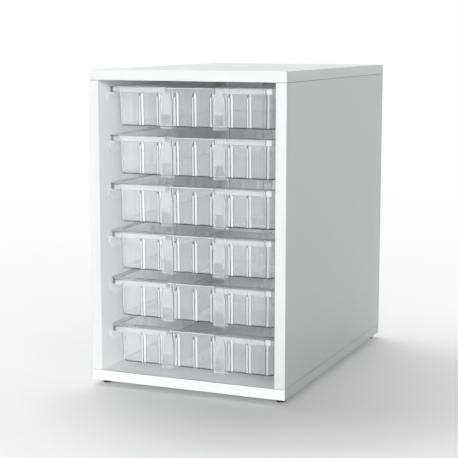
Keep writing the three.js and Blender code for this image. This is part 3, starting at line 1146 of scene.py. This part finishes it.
    def _grip_plan(self) -> list[tuple[float, float]]:
        """Give the right half of the hand gap seen from above, from the wall out to the lip's face.

        Returns:
            Pairs of X and distance from the middle along Y.
        """
        half = self.grip_width / 2
        bend = self.grip_rounding
        face = self.rim.half_depth
        points = [(half, self.top.half_depth + self.skin_gap)]
        for turn in quarter_turn(self.edge_steps):
            points.append((half + bend * (1 - math.cos(turn)), face - bend * (1 - math.sin(turn))))
        return points

    def _grip_cut(self, sign: int) -> Mesh:
        """Build the cutter for the gap in the rim where a hand takes hold.

        Args:
            sign: Which end of the tray.

        Returns:
            The cutter.
        """
        right = self._grip_plan()
        right.append((right[-1][0], self.rim.half_depth + self.cut_reach))
        plan = right + [(-x, away) for x, away in reversed(right)]
        rings = [
            [Vector((x, sign * away, level)) for x, away in plan]
            for level in (self.skirt_foot - self.cut_reach, self.height + self.cut_reach)
        ]
        half = len(right)
        # The cut faces take the lip ends' painted shade and painted lighter plastic.
        tones = [self._lip_end_tone(1, 0, index) for index in range(half)]
        tones += [self._lip_end_tone(-1, 0, half - 2 - index) for index in range(half)]
        return Workshop.skin("tray_grip", rings, tone=lambda row, index: tones[index])

    def _lip_end_tone(self, side: int, row: int, index: int) -> Tone:
        """Choose the plastic of the lip's end: painted shade at the right end's turn, away from the
        light, and painted lighter plastic along the left end's straight and turn, else clear.

        Args:
            side: Left or right of the hand gap.
            row: Its row, always the first; not used.
            index: Its place along the hand gap's plan, from the wall out.

        Returns:
            The plastic or painted tone.
        """
        if side > 0:
            return Tone.PAINTED_SHADE_LINE if index in self.painted_shade_turn else Tone.CLEAR
        return Tone.PAINTED_LIP_LIGHT if 0 <= index <= self.edge_steps else Tone.CLEAR

    def _bar(
        self,
        name: str,
        reach: float,
        away: tuple[float, float],
        levels: tuple[float, float],
        tones: tuple[Tone, Tone, Tone, Tone],
    ) -> Mesh:
        """Build a straight bar along X across the hand gap.

        Args:
            name: The mesh's name.
            reach: Half its length.
            away: Where it starts and ends along Y.
            levels: Its underside and its top.
            tones: The plastic or painted tone of its underside, outer face, top and inner face.

        Returns:
            The bar.
        """
        (inner, outer), (low, high) = away, levels
        corners = ((inner, low), (outer, low), (outer, high), (inner, high))
        rings = [[Vector((x, y, z)) for y, z in corners] for x in (-reach, reach)]
        return Workshop.skin(name, rings, tone=lambda row, index: tones[index])

    def _grip_bars(self, sign: int) -> tuple[Mesh, Mesh]:
        """Build the cutter that lowers the wall in the hand gap, and the low ledge that stays there.

        Args:
            sign: Which end of the tray.

        Returns:
            The cutter, and the ledge, rooted in the wall and in the lip's ends.
        """
        wall = self.top.half_depth
        half = self.grip_width / 2
        low = self.height - self.grip_drop
        away = (sign * (wall - self.wall * 2), sign * (wall + self.root))
        # The cut leaves a painted grey line on the lowered wall's top.
        tones = (Tone.PAINTED_GREY_LINE, Tone.CLEAR, Tone.CLEAR, Tone.CLEAR)
        levels = (low, self.height + self.cut_reach)
        step = self._bar("tray_grip_step", half + self.skin_gap, away, levels, tones)
        away = (sign * (wall - self.root), sign * (wall + self.grip_ledge))
        # A painted highlight on the ledge's outer face and a painted grey line on its top.
        tones = (Tone.CLEAR, Tone.EDGE, Tone.PAINTED_GREY_LINE, Tone.CLEAR)
        levels = (low - self.skin_gap - self.grip_plate, low - self.skin_gap)
        return step, self._bar("tray_grip_plate", half + self.root, away, levels, tones)

    def _lip_end(self, side: int, sign: int) -> Mesh:
        """Build the closed end of the lip beside the hand gap.

        Args:
            side: Left or right of the gap.
            sign: Which end of the tray.

        Returns:
            The end, rooted in the wall and the skirt.
        """
        outer = self._grip_plan()
        outer[0] = (outer[0][0], self.top.half_depth - self.root)
        bend = self.grip_rounding
        half = self.grip_width / 2
        face = self.rim.half_depth
        small = bend - self.wall
        inner = [(half + self.wall, outer[0][1])]
        for turn in quarter_turn(self.edge_steps):
            inner.append((half + bend - small * math.cos(turn), face - bend + small * math.sin(turn)))
        stub = half + bend + self.root
        stub_ends = [(stub, face - self.lip_stub_gap), (stub, face - self.wall * self.lip_stub_share)]
        plan = outer + stub_ends + list(reversed(inner))
        rings = [
            [Vector((side * x, sign * away, level)) for x, away in plan]
            for level in (self.skirt_foot + self.lip_end_lift, self.height - self.root)
        ]
        return Workshop.skin("tray_lip_end", rings, tone=partial(self._lip_end_tone, side))

    def mesh(self) -> Mesh:
        """Build the whole tray about its middle, with its lowest point at zero.

        Returns:
            The mesh that all trays share.
        """
        ends = (-1, 1)
        gaps = [self._grip_cut(sign) for sign in ends]
        features: list[Mesh] = []
        windows: list[Mesh] = []
        for sign in ends:
            step, plate = self._grip_bars(sign)
            gaps.append(step)
            features.append(plate)
            for row in self.rib_rows:
                features.extend(self._rib(row, place, sign) for place in row.places())
            for side in ends:
                features.append(self._pillar(side * self.pillar_offset, sign))
                features.append(self._lip_end(side, sign))
                windows.extend(self._pillar_cuts(side * self.pillar_offset, sign))
        steps = (("DIFFERENCE", gaps), ("UNION", features), ("DIFFERENCE", windows))
        shell = self._shell()
        # The slots hold the clear plastic and the painted tones, in Tone's order.
        for tone in Tone:
            shell.materials.append(self.plastics_and_painted_tones[tone].material())
        return Workshop.carve("tray", shell, steps)

    def place(self, names: Sequence[str]) -> list[Object]:
        """Put a tray over each tray node.

        Args:
            names: The tray nodes, which are also the names of their bodies.

        Returns:
            The trays.
        """
        mesh = self.mesh()
        pieces = []
        for name in names:
            low, high = (Vector(corner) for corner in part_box(name))
            piece = Workshop.add(f"clear_{name}", mesh)
            piece.location = ((low.x + high.x) / 2, (low.y + high.y) / 2, low.z)
            facing = piece.modifiers.new("face_normals", "WEIGHTED_NORMAL")
            facing.keep_sharp = True
            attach(piece, name)
            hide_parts(name)
            pieces.append(piece)
            log.info("tray %s", name)
        return pieces


@dataclass
class Glides:
    """The push-in floor glides under the bottom panel."""

    finish: Finish
    segments: int = 48
    stem_radius: float = 0.004
    stem_length: float = 0.006
    rounding: float = 0.0012
    dish_radius: float = 0.0045
    dish_middle: float = 0.0018
    dish_depth: float = 0.0004
    edge_steps: int = 4

    def _profile(self, radius: float, height: float) -> Pairs:
        """Give the turned outline from the middle of the sole to the stem's end.

        Args:
            radius: The sole's radius.
            height: The height of the whole glide.

        Returns:
            Pairs of radius and height.
        """
        seat = height - self.stem_length
        bend = self.rounding
        chamfer = bend / 2
        turns = quarter_turn(self.edge_steps)
        return [
            (self.dish_middle, self.dish_depth),
            (self.dish_radius, self.dish_depth),
            (self.dish_radius + self.dish_depth, 0.0),
            *((radius - bend + bend * math.sin(turn), bend - bend * math.cos(turn)) for turn in turns),
            (radius, seat - chamfer),
            (radius - chamfer, seat),
            (self.stem_radius, seat),
            (self.stem_radius, height - chamfer),
            (self.stem_radius - chamfer, height),
        ]

    def place(self) -> None:
        """Put a turned glide over each glide node."""
        for name in [node for node in frame["nodes"] if node.endswith("_glide")]:
            low, high = (Vector(corner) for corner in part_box(name))
            turns = [2 * math.pi * step / self.segments for step in range(self.segments)]
            rings = [
                [Vector((radius * math.cos(turn), radius * math.sin(turn), level)) for turn in turns]
                for radius, level in self._profile((high.x - low.x) / 2, high.z - low.z)
            ]
            mesh = Workshop.skin("floor_glide", rings)
            mesh.shade_smooth()
            mesh.set_sharp_from_angle(angle=SOFTENED_EDGE)
            piece = Workshop.add(f"turned_{name}", mesh)
            piece.location = ((low.x + high.x) / 2, (low.y + high.y) / 2, low.z)
            self.finish.put_on(piece)
            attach(piece, "carcass")
            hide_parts(name)
            log.info("glide %s", name)


@dataclass(frozen=True)
class SoftLight:
    """Wide soft light that comes from one direction and is the same all over the floor."""

    name: str
    source: Colour
    spread: float
    strength: float
    pieces: Sequence[Object] = ()
    link: Link = Link.EXCLUDE

    def hang(self) -> None:
        """Hang the light, with flags that keep it off some pieces or on them alone."""
        lamp = bpy.data.lights.new(self.name, "SUN")
        lamp.energy = self.strength
        lamp.angle = math.radians(self.spread)
        holder = bpy.data.objects.new(self.name, lamp)
        holder.location = Vector(self.source)
        holder.rotation_euler = Vector(self.source).to_track_quat("Z", "Y").to_euler()
        bpy.context.scene.collection.objects.link(holder)
        if self.pieces:
            flag = bpy.data.collections.new(f"{self.name}_flag")
            holder.light_linking.receiver_collection = flag
            for piece in self.pieces:
                flag.objects.link(piece)
            for entry in flag.collection_objects:
                entry.light_linking.link_state = self.link.value
        log.info("lamp %s", self.name)


@dataclass
class Studio:
    """The floor, the soft light and the camera at the photograph's viewing angle."""

    floor: Finish
    floor_reach: float = 60.0
    view_reach: float = 240.0
    clear_walls: int = 48
    ambient: float = 0.21
    eye: Colour = (0.8865, -2.1876, 0.5967)
    yaw: float = -0.398688
    pitch: float = -0.148111
    focal_pixels: float = 1295.97
    sensor: float = 36.0

    def lay_floor(self) -> None:
        """Lay the floor."""
        reach = self.floor_reach
        corners = ((-reach, -reach, 0.0), (reach, -reach, 0.0), (reach, reach, 0.0), (-reach, reach, 0.0))
        mesh = bpy.data.meshes.new("studio_floor")
        mesh.from_pydata(corners, [], [(0, 1, 2, 3)])
        piece = Workshop.add("studio_floor", mesh)
        self.floor.put_on(piece)
        log.info("floor")

    def light(self, trays: Sequence[Object]) -> None:
        """Hang the lamps and set the even light around.

        Args:
            trays: The clear trays, which the overhead light leaves out.
        """
        nodes = frame["nodes"]
        right = ("right_side_panel", "top_right_edging", "bottom_right_edging")
        outer_side = [nodes[name] for name in right]
        front_edges = [piece for name, piece in nodes.items() if name.endswith("_front_edging")]
        runners = [piece for name, piece in nodes.items() if "_runner_" in name]
        top = [nodes["top_panel"]]
        sill = [nodes["bottom_panel"], nodes["bottom_front_edging"]]
        lamps = (
            SoftLight("overhead_light", (-0.56, 0.62, 1.0), 65.0, 1.9, trays),
            SoftLight("front_light", (0.08, -1.0, 0.06), 40.0, 2.3, top + runners),
            SoftLight("opening_light", (1.2, -1.0, 0.10), 40.0, 2.53, top + outer_side + front_edges),
            SoftLight("edge_light", (0.08, -1.0, 0.3), 40.0, 0.27, front_edges, Link.INCLUDE),
            SoftLight("sill_light", (0.08, -1.0, 1.0), 40.0, 0.75, sill, Link.INCLUDE),
            SoftLight("runner_light", (1.0, -0.45, 0.10), 40.0, 0.6, runners, Link.INCLUDE),
        )
        for lamp in lamps:
            lamp.hang()
        world = bpy.data.worlds.new("studio")
        world.use_nodes = True
        bpy.context.scene.world = world
        graph = Graph(world.node_tree)
        level = self.ambient + (1.0 - self.ambient) * graph.shown()
        sky = graph.add("ShaderNodeBackground", {}, {"Color": WHITE, "Strength": level})
        graph.add("ShaderNodeOutputWorld", {}, {"Surface": sky.outputs[0]})

    def set_camera(self) -> None:
        """Stand the camera where the photograph was taken from."""
        level = math.cos(self.pitch)
        ahead = Vector((math.sin(self.yaw) * level, math.cos(self.yaw) * level, math.sin(self.pitch)))
        right = Vector((math.cos(self.yaw), -math.sin(self.yaw), 0.0))
        up = right.cross(ahead)
        turn = Matrix((right, up, -ahead)).transposed().to_4x4()
        lens = bpy.data.cameras.new("photo_camera")
        lens.sensor_width = self.sensor
        lens.lens = self.focal_pixels * self.sensor / PHOTO_WIDTH
        lens.clip_end = self.view_reach
        holder = bpy.data.objects.new("photo_camera", lens)
        holder.matrix_world = Matrix.Translation(Vector(self.eye)) @ turn
        bpy.context.scene.collection.objects.link(holder)
        bpy.context.scene.camera = holder
        log.info("camera")

    def set_picture(self) -> None:
        """Set plain colours, let rays pass all the clear walls and treat all lamps alike."""
        scene = bpy.context.scene
        scene.view_settings.view_transform = "Standard"
        scene.cycles.transparent_max_bounces = self.clear_walls
        scene.cycles.use_light_tree = False


def main() -> None:
    """Dress the frame, build the new pieces and set up the studio."""
    logging.basicConfig(level=logging.INFO, format="%(message)s")
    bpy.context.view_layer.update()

    studio = Studio(StudioFloor("studio_floor_paint", ""))
    studio.set_picture()
    studio.set_camera()
    studio.lay_floor()

    board = CoatedBoard("white_coated_board", "board")
    caps = {
        "top_panel": CapBoard("white_cap_board", "board"),
        "bottom_panel": CapBoard("white_cap_board", "board"),
        "back_panel": BackBoard("white_back_board", "board"),
    }
    Carcass(board, caps, BeechDowel("beech_dowel", "dowel")).dress()
    Runners(MilkyPlastic("milky_runner_plastic", "runner")).dress()
    Glides(MouldedPlastic("black_glide_plastic", "glide")).place()

    trays = [name for name in frame["nodes"] if name.startswith("tray_")]
    low, high = (Vector(corner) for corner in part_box(trays[0]))
    spans = high - low
    # Clear plastic tinted to paint dark lines, highlights, lighter side walls and lips, and grey lines on
    # the trays.
    dark = ((0.20, 0.21, 0.215), (0.17, 0.18, 0.185), 0.9)
    white = ((0.97, 0.975, 0.978), (0.95, 0.957, 0.96), 0.4)
    grey = ((0.56, 0.57, 0.575), (0.52, 0.53, 0.535), 0.9)
    clear_and_painted_tones = {
        Tone.CLEAR: ClearPlastic("clear_tray_plastic", "tray"),
        Tone.PAINTED_SHADE_LINE: ClearPlastic("tray_painted_shade_lines", "tray", *dark),
        Tone.EDGE: ClearPlastic("tray_painted_highlights", "tray", *white),
        Tone.SIDE: ClearPlastic("tray_side_painted_light", "tray", *white),
        Tone.PAINTED_LIP_LIGHT: ClearPlastic("tray_lip_painted_light", "tray", clearness=0.8),
        Tone.PAINTED_GREY_LINE: ClearPlastic("tray_painted_grey_lines", "tray", *grey),
    }
    studio.light(Tray(clear_and_painted_tones, spans.x, spans.y, spans.z).place(trays))


if __name__ == "__main__":
    main()
